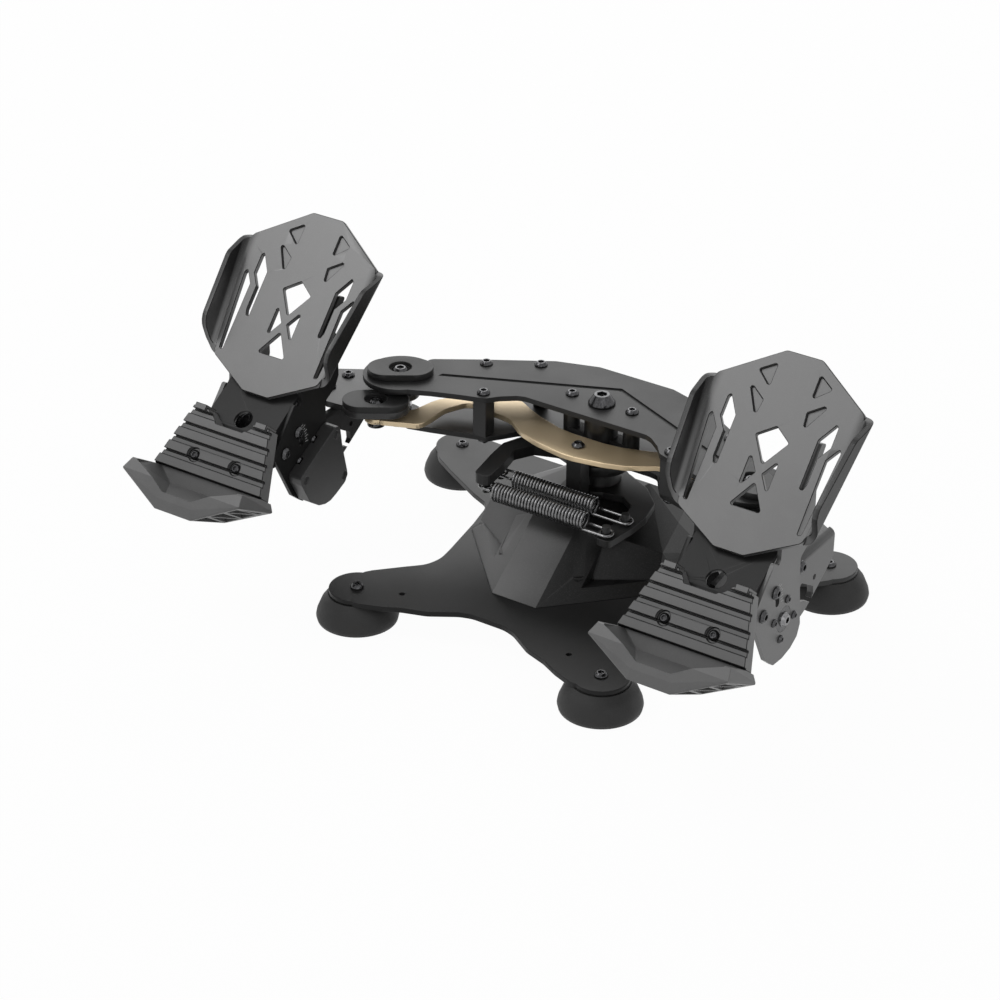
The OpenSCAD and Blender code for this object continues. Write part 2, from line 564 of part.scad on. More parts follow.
module carrier_bracket(side) {
    color(colour_plate) at_axle(side) difference() {
        union() {
            intersection() {
                side_view(-wall_x, flange_t) polygon(sized(wall_shares, pedal_size));
                translate([-arm_x, -pedal_size, -pedal_size])
                    cube([arm_x * 2, pedal_size * 3, pedal_size + carrier_level - axle_z]);
            }
            translate([-wall_x, 0.55 * pedal_size, carrier_level - axle_z - flange_t])
                cube([0.30 * pedal_size, 0.345 * pedal_size, flange_t]);
        }
        side_view(-arm_x, arm_x) {
            circle(r = axle_r + fixed_fit);
            polygon(rounded(sized(window_shares, pedal_size), 0.02 * pedal_size));
            translate([0.638, -0.043] * pedal_size) circle(r = screw_r * 0.8, $fn = 24);
            translate([0.539, -0.077] * pedal_size) circle(r = screw_r * 0.8, $fn = 24);
        }
        for (p = carrier_screw_places) translate([p[0], p[1], 0])
            cylinder(r = screw_r + fixed_fit, h = pedal_size, $fn = 24);
        mirror([1, 0, 0]) translate([wall_x, 0, carrier_level - axle_z]) bend_cut(0.04 * pedal_size);
    }
}
module carrier_screws(side) {
    color(colour_bolt) at_axle(side) {
        for (p = carrier_screw_places) translate([p[0], p[1], carrier_top - axle_z])
            screw(screw_r, carrier_t + flange_t);
        translate([wall_x, nut_place[0], nut_place[1]]) rotate([0, 90, 0]) screw(screw_r, carrier_t * 2.5);
    }
}
module link_pad(side) {
    color(colour_pad) at_end(side) translate([0, -pivot_gap, carrier_top]) end_pad(end_bolt_r + fixed_fit);
}
module link_pin(side) {
    drop = carrier_level - link_top - face_gap;
    color(colour_bolt) at_end(side) translate([0, -pivot_gap, 0]) {
        translate([0, 0, carrier_top + pad_t * 0.35])
            screw(end_bolt_r, pad_t * 0.35 + carrier_top - link_level + face_gap,
                end_bolt_r * 1.25, pad_t * 0.5);
        translate([0, 0, link_top + face_gap]) difference() {
            cylinder(r = end_bolt_r * 1.7, h = drop);
            translate([0, 0, -drop]) cylinder(r = end_bolt_r, h = drop * 3, $fn = small_fn);
        }
        translate([0, 0, link_level - face_gap - plate_t]) cylinder(r = end_bolt_r * 1.6, h = plate_t);
    }
}
module carrier_bearing(side) {
    color(colour_steel) at_end(side) translate([0, 0, rocker_in + face_gap]) difference() {
        cylinder(r = bush_r, h = rocker_gap - face_gap * 2);
        translate([0, 0, -rocker_gap]) cylinder(r = end_bolt_r + run_fit, h = rocker_gap * 3);
    }
}
module brake_axle(side) {
    color(colour_bolt) at_axle(side) rotate([0, 90, 0]) difference() {
        union() {
            translate([0, 0, -housing_x * 0.92])
                cylinder(r = axle_r, h = housing_x * 0.92 + arm_x + sheet_t * 0.2);
            translate([0, 0, arm_x + sheet_t * 0.2])
                cylinder(r1 = axle_r * 0.95, r2 = axle_r * 0.7, h = sheet_t * 0.8);
        }
        translate([0, 0, arm_x + sheet_t]) socket(axle_r * 0.45, sheet_t);
    }
}

// Tipping body of one pedal: toe plate, arms, heel rest and sensor housing
module toe_plate(side) {
    color(colour_plate) at_axle(side) in_toe() difference() {
        union() {
            translate([0, 0, -plate_t]) linear_extrude(plate_t)
                polygon(rounded(whole(sized(inner(toe_shares), pedal_size)), 0.05 * pedal_size));
            on_both() intersection() {
                translate([0.62 * pedal_size, 0.67 * pedal_size, 0]) rotate([0, 0, -bend_slant])
                    translate([0, 0.3 * pedal_size, 0]) rotate([90, 0, 0]) linear_extrude(1.5 * pedal_size)
                        union() {
                        translate([-bend_r, bend_r - plate_t]) intersection() {
                            difference() {
                                circle(r = bend_r);
                                circle(r = bend_r - plate_t);
                            }
                            translate([0, -bend_r]) square([bend_r, bend_r]);
                        }
                        translate([-plate_t, bend_r - plate_t]) square([plate_t, 0.2 * pedal_size]);
                        translate([-bend_r - plate_t * 0.5, -plate_t]) square([plate_t * 0.5, plate_t]);
                    }
                side_view(0.3 * pedal_size, 0.4 * pedal_size)
                    polygon(rounded(sized(lip_shares, pedal_size), 0.12 * pedal_size));
            }
        }
        translate([0, 0, -plate_t * 2]) linear_extrude(plate_t * 4) {
            polygon(rounded(sized(kite_shares, pedal_size), 0.012 * pedal_size));
            polygon(rounded(sized(low_cut_shares, pedal_size), 0.012 * pedal_size));
            on_both() polygon(rounded(sized(side_cut_shares, pedal_size), 0.01 * pedal_size));
            on_both() polygon(rounded(sized(inner_slot_shares, pedal_size), 0.012 * pedal_size));
            on_both() polygon(rounded(sized(outer_slot_shares, pedal_size), 0.012 * pedal_size));
        }
        translate([0, 0, -plate_t * 0.45]) linear_extrude(plate_t * 2) on_both() {
            polygon(rounded(sized(upper_pocket_shares, pedal_size), 0.012 * pedal_size));
            polygon(rounded(sized(lower_pocket_shares, pedal_size), 0.012 * pedal_size));
        }
        for (x = [-1, 1]) for (v = [0, 0.36])
            translate([x * 0.24 * pedal_size, v * pedal_size, -plate_t * 1.5])
            cylinder(r = screw_r + fixed_fit, h = plate_t * 1.1, $fn = 24);
    }
}
module arm(side, inner) {
    tab = 0.13 * pedal_size;
    at_axle(side) mirror([inner, 0, 0]) difference() {
        union() {
            difference() {
                side_view(arm_x - sheet_t, sheet_t)
                    polygon(rounded(sized(arm_shares, pedal_size), 0.03 * pedal_size));
                in_toe() translate([-pedal_size, -pedal_size, -plate_t])
                    cube([pedal_size * 2, pedal_size * 2, pedal_size]);
            }
            in_toe() translate([arm_x - tab, -0.15 * pedal_size, -plate_t - sheet_t])
                cube([tab, 0.62 * pedal_size, sheet_t]);
        }
        side_view(arm_x - sheet_t * 2, sheet_t * 3) {
            circle(r = axle_r * 1.8 + fixed_fit / 2);
            for (a = [75 : 90 : 345]) rotate(a) translate([0.138 * pedal_size, 0])
                circle(r = screw_r * 0.7 + fixed_fit, $fn = 24);
            translate(arm_turn_share * pedal_size) {
                circle(r = screw_r + fixed_fit, $fn = 24);
                intersection() {
                    difference() {
                        circle(r = 0.19 * pedal_size + screw_r);
                        circle(r = 0.19 * pedal_size - screw_r);
                    }
                    polygon([[0, 0], [0.4, 0], [0.4, 0.26]] * pedal_size);
                }
                translate([0.19 * pedal_size, 0]) circle(r = screw_r, $fn = 24);
            }
            translate(arm_screw_share * pedal_size) circle(r = screw_r + fixed_fit, $fn = 24);
        }
        in_toe() for (v = [0, 0.36]) translate([0.24 * pedal_size, v * pedal_size, -plate_t * 3])
            cylinder(r = screw_r + fixed_fit, h = plate_t * 3, $fn = 24);
    }
}
module outer_arm(side) {
    color(colour_plate) arm(side, 0);
}
module inner_arm(side) {
    color(colour_plate) arm(side, 1);
}
module brake_bearings(side) {
    color(colour_bolt) at_axle(side) on_both() rotate([0, 90, 0]) difference() {
        union() {
            translate([0, 0, arm_x - sheet_t * 2.2]) cylinder(r = axle_r * 1.8, h = sheet_t * 2.2);
            translate([0, 0, arm_x - sheet_t * 2.2]) cylinder(r = 0.175 * pedal_size, h = sheet_t * 1.2);
        }
        cylinder(r = axle_r + run_fit, h = pedal_size);
        for (a = [75 : 90 : 345]) rotate(a) translate([0, 0.138 * pedal_size, 0])
            cylinder(r = screw_r * 0.7 + fixed_fit, h = pedal_size, $fn = 24);
    }
}
module heel_bracket(side) {
    half = arm_x - sheet_t;
    color(colour_plate) at_axle(side) difference() {
        union() {
            side_view(-half, half * 2) polygon(sized(heel_sheet_shares, pedal_size));
            on_both() side_view(half - sheet_t, sheet_t) polygon(sized(heel_flange_shares, pedal_size));
        }
        translate([0, -0.331 * pedal_size, 0.353 * pedal_size]) rotate([32, 0, 0])
            cylinder(r = 0.069 * pedal_size, h = pedal_size, center = true);
        side_view(-pedal_size, pedal_size * 2) {
            translate(arm_turn_share * pedal_size) circle(r = screw_r + fixed_fit, $fn = 24);
            translate(arm_screw_share * pedal_size) circle(r = screw_r + fixed_fit, $fn = 24);
        }
        in_pad() for (x = [-0.18, 0.18]) translate([x, 0.28, -0.1] * pedal_size)
            cylinder(r = screw_r * 0.7 + fixed_fit, h = pedal_size, $fn = 24);
    }
}
// Pad frame: x across, y down along the pad, z out of its face
module in_pad() {
    translate([0, -0.401 * pedal_size, 0.317 * pedal_size]) rotate([49.1, 0, 0]) mirror([0, 1, 0])
        translate([0, 0, run_fit]) children();
}
module heel_pad(side) {
    pitch = 0.11 * pedal_size;
    color(colour_pad) at_axle(side) in_pad() difference() {
        union() {
            linear_extrude(0.1 * pedal_size) polygon(sized(pad_face_shares, pedal_size));
            intersection() {
                linear_extrude(0.122 * pedal_size) polygon(sized(pad_face_shares, pedal_size));
                for (i = [0 : 4]) translate([-pedal_size, -0.02 * pedal_size + i * pitch - pitch * 0.68, 0])
                    cube([pedal_size * 2, pitch * 0.60, 0.122 * pedal_size]);
            }
            on_both() translate([0.215 * pedal_size, -0.072 * pedal_size, 0])
                cube([0.095 * pedal_size, 0.05 * pedal_size, 0.14 * pedal_size]);
        }
        for (i = [0 : 3])
            translate([-pedal_size, -0.02 * pedal_size + i * pitch - pitch * 0.08, 0.085 * pedal_size])
            cube([pedal_size * 2, pitch * 0.10, pedal_size]);
        for (x = [-0.18, 0.18]) translate([x, 0.28, 0] * pedal_size) {
            cylinder(r = screw_r * 0.7 + fixed_fit, h = pedal_size, $fn = 24);
            translate([0, 0, 0.09 * pedal_size]) cylinder(r = screw_r * 2, h = pedal_size, $fn = 24);
        }
    }
}
module tray_point(p, lift = 0) {
    translate([p[0], p[1], p[2] + lift] * pedal_size) cube(0.012 * pedal_size, center = true);
}
// Sloped underside of the tray, u runs along its front edge, v down to its keel and n into the tray
tray_u = tray_shares[1] - tray_shares[2];
tray_v = tray_shares[4] - tray_shares[2];
tray_n = cross(tray_u, tray_v) / norm(cross(tray_u, tray_v));
tray_e = tray_u / norm(tray_u);
tray_f = cross(tray_n, tray_e);
module tray_pocket(p) {
    corners = [for (i = [0 : 2])
        [norm(tray_u) * p[i * 2] + tray_v * tray_e * p[i * 2 + 1], tray_v * tray_f * p[i * 2 + 1]]];
    multmatrix([for (i = [0 : 2]) [tray_e[i], tray_f[i], tray_n[i], tray_shares[2][i] * pedal_size]])
        translate([0, 0, -0.03 * pedal_size]) linear_extrude(0.058 * pedal_size)
            polygon(corners * pedal_size);
}
module heel_tray(side) {
    color(colour_pad) at_axle(side) difference() {
        hull() on_both() for (p = tray_shares) tray_point(p);
        hull() on_both() {
            for (p = bowl_shares) tray_point(p);
            for (i = [1 : 3]) tray_point(bowl_shares[i], 0.3);
        }
        on_both() for (p = pocket_shares) tray_pocket(p);
        for (i = [0 : 1]) in_pad() translate([-0.37 + 0.03 * i, 0.44 + 0.03 * i, 0.076] * pedal_size)
            cube([0.74 - 0.06 * i, 0.011, 0.1] * pedal_size);
        in_pad() translate([-pedal_size, -pedal_size, -pedal_size])
            cube([pedal_size * 2, pedal_size * 1.42, pedal_size * 2]);
    }
}
module sensor_housing(side) {
    centre = [0.01, -0.05] * pedal_size;
    outline = rounded(sized(housing_shares, pedal_size), 0.05 * pedal_size);
    color(colour_pad) at_axle(side) difference() {
        side_view(-housing_x, housing_x - arm_x) polygon(outline);
        side_view(-housing_x + sheet_t * 0.6, housing_x - arm_x)
            polygon([for (p = outline) centre + (p - centre) * 0.86]);
        for (p = housing_screw_shares) translate([-housing_x - sheet_t, p[0] * pedal_size, p[1] * pedal_size])
            rotate([0, 90, 0]) cylinder(r = screw_r * 1.2, h = sheet_t * 1.4, $fn = 24);
        for (a = [75 : 90 : 345]) translate([-arm_x - head_h, 0, 0]) rotate([a, 0, 0])
            translate([0, 0.138 * pedal_size, 0]) rotate([0, 90, 0])
                cylinder(r = head_r * 0.6 + face_gap, h = head_h * 2, $fn = 24);
    }
}
module brake_spring(side) {
    end = arm_x + sheet_t * 0.8;
    color(colour_spring) at_axle(side) rotate([0, 90, 0]) translate([0, 0, -housing_x * 0.92]) difference() {
        cylinder(r = axle_r * 1.45, h = housing_x * 0.92 - end);
        translate([0, 0, -pedal_size]) cylinder(r = axle_r * 1.15, h = pedal_size * 3);
    }
}
module pedal_screws(side) {
    color(colour_bolt) at_axle(side) {
        on_both() {
            for (a = [75 : 90 : 345]) translate([arm_x, 0, 0]) rotate([a, 0, 0])
                translate([0, 0.138 * pedal_size, 0])
                rotate([0, 90, 0]) screw(screw_r * 0.7, sheet_t * 2.2, head_r * 0.6, head_h * 0.7);
            for (p = [arm_turn_share, arm_screw_share])
                translate([arm_x, p[0] * pedal_size, p[1] * pedal_size])
                rotate([0, 90, 0]) screw(screw_r, sheet_t * 2, head_r * 0.95, head_h);
            in_toe() for (v = [0, 0.36]) translate([0.24 * pedal_size, v * pedal_size, -plate_t - sheet_t])
                rotate([180, 0, 0]) screw(screw_r, sheet_t + plate_t * 0.5);
        }
        in_pad() for (x = [-0.18, 0.18]) translate([x, 0.28, 0.09] * pedal_size)
            screw(screw_r * 0.7, 0.11 * pedal_size, head_r * 0.75, head_h * 0.8);
    }
}

// Centring arms and springs
right_arm_z = base_top + 0.417 * base_size;
arm_t = plate_t * 1.375;
left_arm_t = plate_t * 2;
left_arm_z = column_top - left_arm_t - face_gap;
spring_z = (left_arm_z + right_arm_z + arm_t) / 2 + 0.5 * face_gap;
pin_r = screw_r * 1.2;
left_pins = [[-0.52, 0.60], [-0.545, 0.82]];
right_pins = [[0.48, 0.60], [0.50, 0.82]];
left_arm_shares = [[-0.10, 1.47], [-0.38, 1.40], [-0.57, 1.26], [-0.66, 1.02], [-0.64, 0.84],
    [-0.585, 0.54], [-0.46, 0.54], [-0.49, 0.78], [-0.53, 0.97], [-0.45, 1.11], [-0.28, 1.17],
    [-0.10, 1.10]];
right_arm_shares = [[0.10, 1.10], [0.28, 1.14], [0.40, 1.06], [0.44, 0.90], [0.43, 0.78],
    [0.42, 0.54], [0.54, 0.54], [0.57, 0.80], [0.57, 0.98], [0.52, 1.18], [0.36, 1.34], [0.10, 1.47]];
module spring_arm(shares, pins, z, thick, pin_z, pin_h) {
    on_base() difference() {
        union() {
            translate([0, 0, z]) linear_extrude(thick)
                polygon(rounded(sized(shares, base_size), 0.04 * base_size));
            translate([0, pivot_y, z]) cylinder(r = column_r * 1.45, h = thick);
            for (p = pins) translate([p[0] * base_size, p[1] * base_size, pin_z])
                cylinder(r = pin_r, h = pin_h, $fn = 24);
        }
        translate([0, pivot_y, z - thick]) cylinder(r = column_r + run_fit, h = thick * 3);
    }
}
module left_spring_arm() {
    drop = left_arm_z - spring_z + spring_r * 0.3;
    color(colour_base) spring_arm(left_arm_shares, left_pins, left_arm_z, left_arm_t,
        left_arm_z - drop, drop + left_arm_t);
}
module right_spring_arm() {
    rise = spring_z - right_arm_z + spring_r * 0.3;
    color(colour_base) spring_arm(right_arm_shares, right_pins, right_arm_z, arm_t, right_arm_z, rise);
}

// One spring as a single tube: a hook round the left pin, the coils, a hook round the right pin
coil_r = spring_r - wire_r;
hook_r = pin_r + wire_r + 2 * face_gap;
hook_steps = 10;
ring_sides = 6;
function hook(p, z, sense) = [for (i = [0 : hook_steps])
    let (a = sense > 0 ? 290 - 200 * i / hook_steps : 90 - 200 * i / hook_steps)
    [p[0] + hook_r * cos(a), p[1] + hook_r * sin(a), z]];
function coils(x0, x1, y, z, a0, a1, n) = [for (i = [0 : n])
    let (t = i / n, a = a0 + (a1 - a0) * t)
    [x0 + (x1 - x0) * t, y + coil_r * cos(a), z + coil_r * sin(a)]];
function direction(path, i) = let (d = path[min(i + 1, len(path) - 1)] - path[max(i - 1, 0)]) d / norm(d);
function across(d, n) = let (m = n - d * (n * d)) m / norm(m);
function frames(path) = [for (i = 0, n = across(direction(path, 0), [0, 0, 1]); i < len(path);
    i = i + 1, n = i < len(path) ? across(direction(path, i), n) : n) n];
function tube_points(path, r) = let (f = frames(path)) [for (i = [0 : len(path) - 1])
    let (d = direction(path, i), n = f[i], b = cross(d, n))
    for (k = [0 : ring_sides - 1])
        path[i] + r * (n * cos(360 * k / ring_sides) + b * sin(360 * k / ring_sides))];
function tube_faces(n) = concat([[for (k = [0 : ring_sides - 1]) k]],
    [for (i = [0 : n - 2]) for (k = [0 : ring_sides - 1]) let (a = i * ring_sides + k,
        b = i * ring_sides + (k + 1) % ring_sides) each
            [[a, a + ring_sides, b], [b, a + ring_sides, b + ring_sides]]],
    [[for (k = [ring_sides - 1 : -1 : 0]) (n - 1) * ring_sides + k]]);
function spring_path(left, right, z, turns) =
    let (x0 = left[0] + hook_r * 1.5, x1 = right[0] - hook_r * 3.6, n = turns * 8,
        low = z - hook_r * 0.75, high = z + hook_r * 0.6, a0 = asin((high - z) / coil_r),
        a1 = 180 + asin((z - low) / coil_r) - 360 * turns)
    concat(hook(left, high, 1), coils(x0, x1, (left[1] + right[1]) / 2, z, a0, a1, n), hook(right, low, -1));
front_path = spring_path(left_pins[0] * base_size, right_pins[0] * base_size, spring_z, 25);
rear_path = spring_path(left_pins[1] * base_size, right_pins[1] * base_size, spring_z, 25);
function least_gap(path) =
    min([for (i = [0 : 2 : len(path) - 8]) for (j = [i + 7 : 1 : min(i + 9, len(path) - 1)])
    norm(path[i] - path[j]) - wire_r * 2]);
module front_spring() {
    echo(front_gap = least_gap(front_path));
    color(colour_spring) on_base() polyhedron(tube_points(front_path, wire_r), tube_faces(len(front_path)));
}
module rear_spring() {
    echo(rear_gap = least_gap(rear_path));
    color(colour_spring) on_base() polyhedron(tube_points(rear_path, wire_r), tube_faces(len(rear_path)));
}

base_plate();
base_cover();
rubber_feet();
base_screws();
pivot_column();
column_bearings();
link_post();
link_pivot_bolt();
rudder_sensor();
control_board();
rocker_top_plate();
rocker_bottom_plate();
rocker_standoffs();
rocker_screws();
pivot_hub();
pivot_shaft();
pivot_bolt();
rocker_end_pads();
end_pivot_bolts();
steering_link();
left_spring_arm();
right_spring_arm();
front_spring();
rear_spring();
carrier_plate(-1);  // left_carrier_plate
carrier_bracket(-1);  // left_carrier_bracket
link_pad(-1);  // left_link_pad
link_pin(-1);  // left_link_pin
carrier_bearing(-1);  // left_carrier_bearing
carrier_screws(-1);  // left_carrier_screws
brake_axle(-1);  // left_brake_axle
toe_plate(-1);  // left_toe_plate
outer_arm(-1);  // left_outer_arm
inner_arm(-1);  // left_inner_arm
brake_bearings(-1);  // left_brake_bearings
heel_bracket(-1);  // left_heel_bracket
heel_pad(-1);  // left_heel_pad
heel_tray(-1);  // left_heel_tray
sensor_housing(-1);  // left_sensor_housing
brake_spring(-1);  // left_brake_spring
pedal_screws(-1);  // left_pedal_screws
carrier_plate(1);  // right_carrier_plate
carrier_bracket(1);  // right_carrier_bracket
link_pad(1);  // right_link_pad
link_pin(1);  // right_link_pin
carrier_bearing(1);  // right_carrier_bearing
carrier_screws(1);  // right_carrier_screws
brake_axle(1);  // right_brake_axle
toe_plate(1);  // right_toe_plate
outer_arm(1);  // right_outer_arm
inner_arm(1);  // right_inner_arm
brake_bearings(1);  // right_brake_bearings
heel_bracket(1);  // right_heel_bracket
heel_pad(1);  // right_heel_pad
heel_tray(1);  // right_heel_tray
sensor_housing(1);  // right_sensor_housing
brake_spring(1);  // right_brake_spring
pedal_screws(1);  // right_pedal_screws
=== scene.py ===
import math

import bpy
from mathutils import Matrix, Vector


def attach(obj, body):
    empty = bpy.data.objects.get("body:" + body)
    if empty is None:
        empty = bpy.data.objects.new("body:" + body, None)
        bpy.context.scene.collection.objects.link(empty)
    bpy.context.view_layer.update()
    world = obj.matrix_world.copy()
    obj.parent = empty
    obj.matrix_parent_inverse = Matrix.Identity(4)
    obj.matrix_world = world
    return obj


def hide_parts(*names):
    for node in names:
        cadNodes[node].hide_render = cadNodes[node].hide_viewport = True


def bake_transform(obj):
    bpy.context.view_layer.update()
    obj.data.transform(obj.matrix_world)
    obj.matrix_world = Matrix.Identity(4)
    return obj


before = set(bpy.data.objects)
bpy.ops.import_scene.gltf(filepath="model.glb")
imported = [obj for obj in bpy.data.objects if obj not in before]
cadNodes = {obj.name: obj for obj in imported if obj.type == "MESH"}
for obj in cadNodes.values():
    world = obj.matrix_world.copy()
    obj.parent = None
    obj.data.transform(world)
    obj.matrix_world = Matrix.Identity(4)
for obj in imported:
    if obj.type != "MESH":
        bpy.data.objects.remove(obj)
bpy.context.view_layer.update()
print("frame loaded:", len(cadNodes), "nodes")


# Camera: the photograph's angle, worked out from the part's own points.
viewPoint = dict(azimuth=33.86, elevation=29.62, roll=0.228, distance=2.0003,
                 target=(0, -0.0456, 0.1141), lens=106.46, sensor=36, near=0.05, far=40)


def makeCamera():
    azimuth = math.radians(viewPoint["azimuth"])
    elevation = math.radians(viewPoint["elevation"])
    roll = math.radians(viewPoint["roll"])
    back = Vector((math.sin(azimuth) * math.cos(elevation),
                   -math.cos(azimuth) * math.cos(elevation), math.sin(elevation)))
    level = Vector((math.cos(azimuth), math.sin(azimuth), 0))
    upright = back.cross(level)
    right = level * math.cos(roll) + upright * math.sin(roll)
    up = upright * math.cos(roll) - level * math.sin(roll)
    place = Vector(viewPoint["target"]) + back * viewPoint["distance"]
    bpy.ops.object.camera_add(location=place)
    camera = bpy.context.object
    camera.name = "photoCamera"
    turn = Matrix((right, up, back)).transposed()
    camera.matrix_world = Matrix.Translation(place) @ turn.to_4x4()
    camera.data.lens = viewPoint["lens"]
    camera.data.sensor_width = viewPoint["sensor"]
    camera.data.clip_start = viewPoint["near"]
    camera.data.clip_end = viewPoint["far"]
    bpy.context.scene.camera = camera


makeCamera()
print("camera placed")


# Shader building blocks.
def grey(level):
    return (level, level, level, 1)


black, white = grey(0), grey(1)


def openGroup(name, inputs, outputs):
    tree = bpy.data.node_groups.new(name, "ShaderNodeTree")
    kinds = dict(color="NodeSocketColor", value="NodeSocketFloat", vector="NodeSocketVector")
    for label, kind in inputs:
        tree.interface.new_socket(name=label, in_out="INPUT", socket_type=kinds[kind])
    for label, kind in outputs:
        tree.interface.new_socket(name=label, in_out="OUTPUT", socket_type=kinds[kind])
    entry = tree.nodes.new("NodeGroupInput")
    leave = tree.nodes.new("NodeGroupOutput")
    return tree, entry.outputs, leave.inputs


def addNode(tree, kind, settings=None, **sockets):
    node = tree.nodes.new(kind)
    for label, value in (settings or {}).items():
        setattr(node, label, value)
    for label, value in sockets.items():
        feed(tree, node, label.replace("_", " "), value)
    return node


def feed(tree, node, label, value):
    # A label such as i1 means the socket with that number, for nodes that repeat a name.
    byNumber = label[0] == "i" and label[1:].isdigit()
    socket = node.inputs[int(label[1:]) if byNumber else label]
    if isinstance(value, bpy.types.NodeSocket):
        tree.links.new(value, socket)
    else:
        socket.default_value = value


def remap(tree, value, low, high, toLow, toHigh, way="LINEAR"):
    return addNode(tree, "ShaderNodeMapRange", dict(interpolation_type=way), Value=value,
                   From_Min=low, From_Max=high, To_Min=toLow, To_Max=toHigh).outputs["Result"]


# The colour sockets of a Mix node, whose names repeat.
colorMix = dict(factor="i0", first="i6", second="i7", result=2)


def blend(tree, factor, first, second):
    ends = {colorMix["factor"]: factor, colorMix["first"]: first, colorMix["second"]: second}
    node = addNode(tree, "ShaderNodeMix", dict(data_type="RGBA"), **ends)
    return node.outputs[colorMix["result"]]


coatLook = dict(grainDetail=2.5, grainRough=0.55, cloudDetail=4, cloudRough=0.6, cloudLow=0.35,
                cloudHigh=0.68, fleckNear=0.10, fleckFar=0.22, fleckShare=0.35, roughLow=0.3,
                roughHigh=0.7)


def makeCoatGroup():
    # Coat or moulded skin: fine orange peel, slow clouds, rare flecks, and painted light and
    # shade: the tone grades to a second tone with the distance from a place, so it is lighter or
    # darker to one side.
    look = coatLook
    tree, entry, leave = openGroup(
        "powderCoat",
        [("Vector", "vector"), ("Base Color", "color"), ("Cloud Color", "color"),
         ("Fleck Color", "color"), ("Painted Shading Color", "color"), ("Painted Shading Center", "vector"),
         ("Painted Shading Along", "vector"), ("Painted Shading Start", "value"), ("Painted Shading End", "value"),
         ("Grain Scale", "value"), ("Cloud Scale", "value"), ("Smooth", "value"),
         ("Rough", "value")],
        [("Color", "color"), ("Roughness", "value"), ("Height", "value")])
    grain = addNode(tree, "ShaderNodeTexNoise", Vector=entry["Vector"],
                    Scale=entry["Grain Scale"], Detail=look["grainDetail"],
                    Roughness=look["grainRough"])
    cloud = addNode(tree, "ShaderNodeTexNoise", Vector=entry["Vector"],
                    Scale=entry["Cloud Scale"], Detail=look["cloudDetail"],
                    Roughness=look["cloudRough"])
    fleck = addNode(tree, "ShaderNodeTexVoronoi", dict(feature="F1"),
                    Vector=entry["Vector"], Scale=entry["Grain Scale"])
    share = remap(tree, cloud.outputs["Fac"], look["cloudLow"], look["cloudHigh"], 0, 1)
    spark = remap(tree, fleck.outputs["Distance"], look["fleckNear"], look["fleckFar"],
                  look["fleckShare"], 0)
    # Painted light and shade: the distance from the centre, taken along the given axes, blends the
    # tone towards the second tone.
    away = addNode(tree, "ShaderNodeVectorMath", dict(operation="SUBTRACT"),
                   i0=entry["Vector"], i1=entry["Painted Shading Center"])
    spread = addNode(tree, "ShaderNodeVectorMath", dict(operation="ABSOLUTE"), i0=away.outputs[0])
    along = addNode(tree, "ShaderNodeVectorMath", dict(operation="DOT_PRODUCT"),
                    i0=spread.outputs[0], i1=entry["Painted Shading Along"])
    paintedShading = remap(tree, along.outputs["Value"], entry["Painted Shading Start"], entry["Painted Shading End"], 0, 1,
                  "SMOOTHSTEP")
    tone = blend(tree, share, entry["Base Color"], entry["Cloud Color"])
    tone = blend(tree, paintedShading, tone, entry["Painted Shading Color"])
    tree.links.new(blend(tree, spark, tone, entry["Fleck Color"]), leave["Color"])
    rough = remap(tree, cloud.outputs["Fac"], look["roughLow"], look["roughHigh"],
                  entry["Smooth"], entry["Rough"])
    tree.links.new(rough, leave["Roughness"])
    tree.links.new(grain.outputs["Fac"], leave["Height"])
    return tree


brushLook = dict(detail=5, grainRough=0.65, streakLow=0.38, streakHigh=0.66, roughLow=0.3,
                 roughHigh=0.7)


def makeBrushGroup():
    # Drawn or turned metal: a fine noise, drawn out into streaks where Stretch is uneven.
    look = brushLook
    tree, entry, leave = openGroup(
        "brushedMetal",
        [("Vector", "vector"), ("Base Color", "color"), ("Streak Color", "color"),
         ("Stretch", "vector"), ("Streak Scale", "value"), ("Smooth", "value"),
         ("Rough", "value")],
        [("Color", "color"), ("Roughness", "value"), ("Height", "value")])
    drawn = addNode(tree, "ShaderNodeVectorMath", dict(operation="MULTIPLY"),
                    i0=entry["Vector"], i1=entry["Stretch"])
    streak = addNode(tree, "ShaderNodeTexNoise", Vector=drawn.outputs[0],
                     Scale=entry["Streak Scale"], Detail=look["detail"],
                     Roughness=look["grainRough"])
    share = remap(tree, streak.outputs["Fac"], look["streakLow"], look["streakHigh"], 0, 1)
    tree.links.new(blend(tree, share, entry["Base Color"], entry["Streak Color"]), leave["Color"])
    rough = remap(tree, streak.outputs["Fac"], look["roughLow"], look["roughHigh"],
                  entry["Smooth"], entry["Rough"])
    tree.links.new(rough, leave["Roughness"])
    tree.links.new(streak.outputs["Fac"], leave["Height"])
    return tree


rubberLook = dict(patchScale=70, patchDetail=5, dustBelow=0.5, dustAbove=0.08, patchLow=0.42,
                  patchHigh=0.72, roughLow=0.3, roughHigh=0.7)


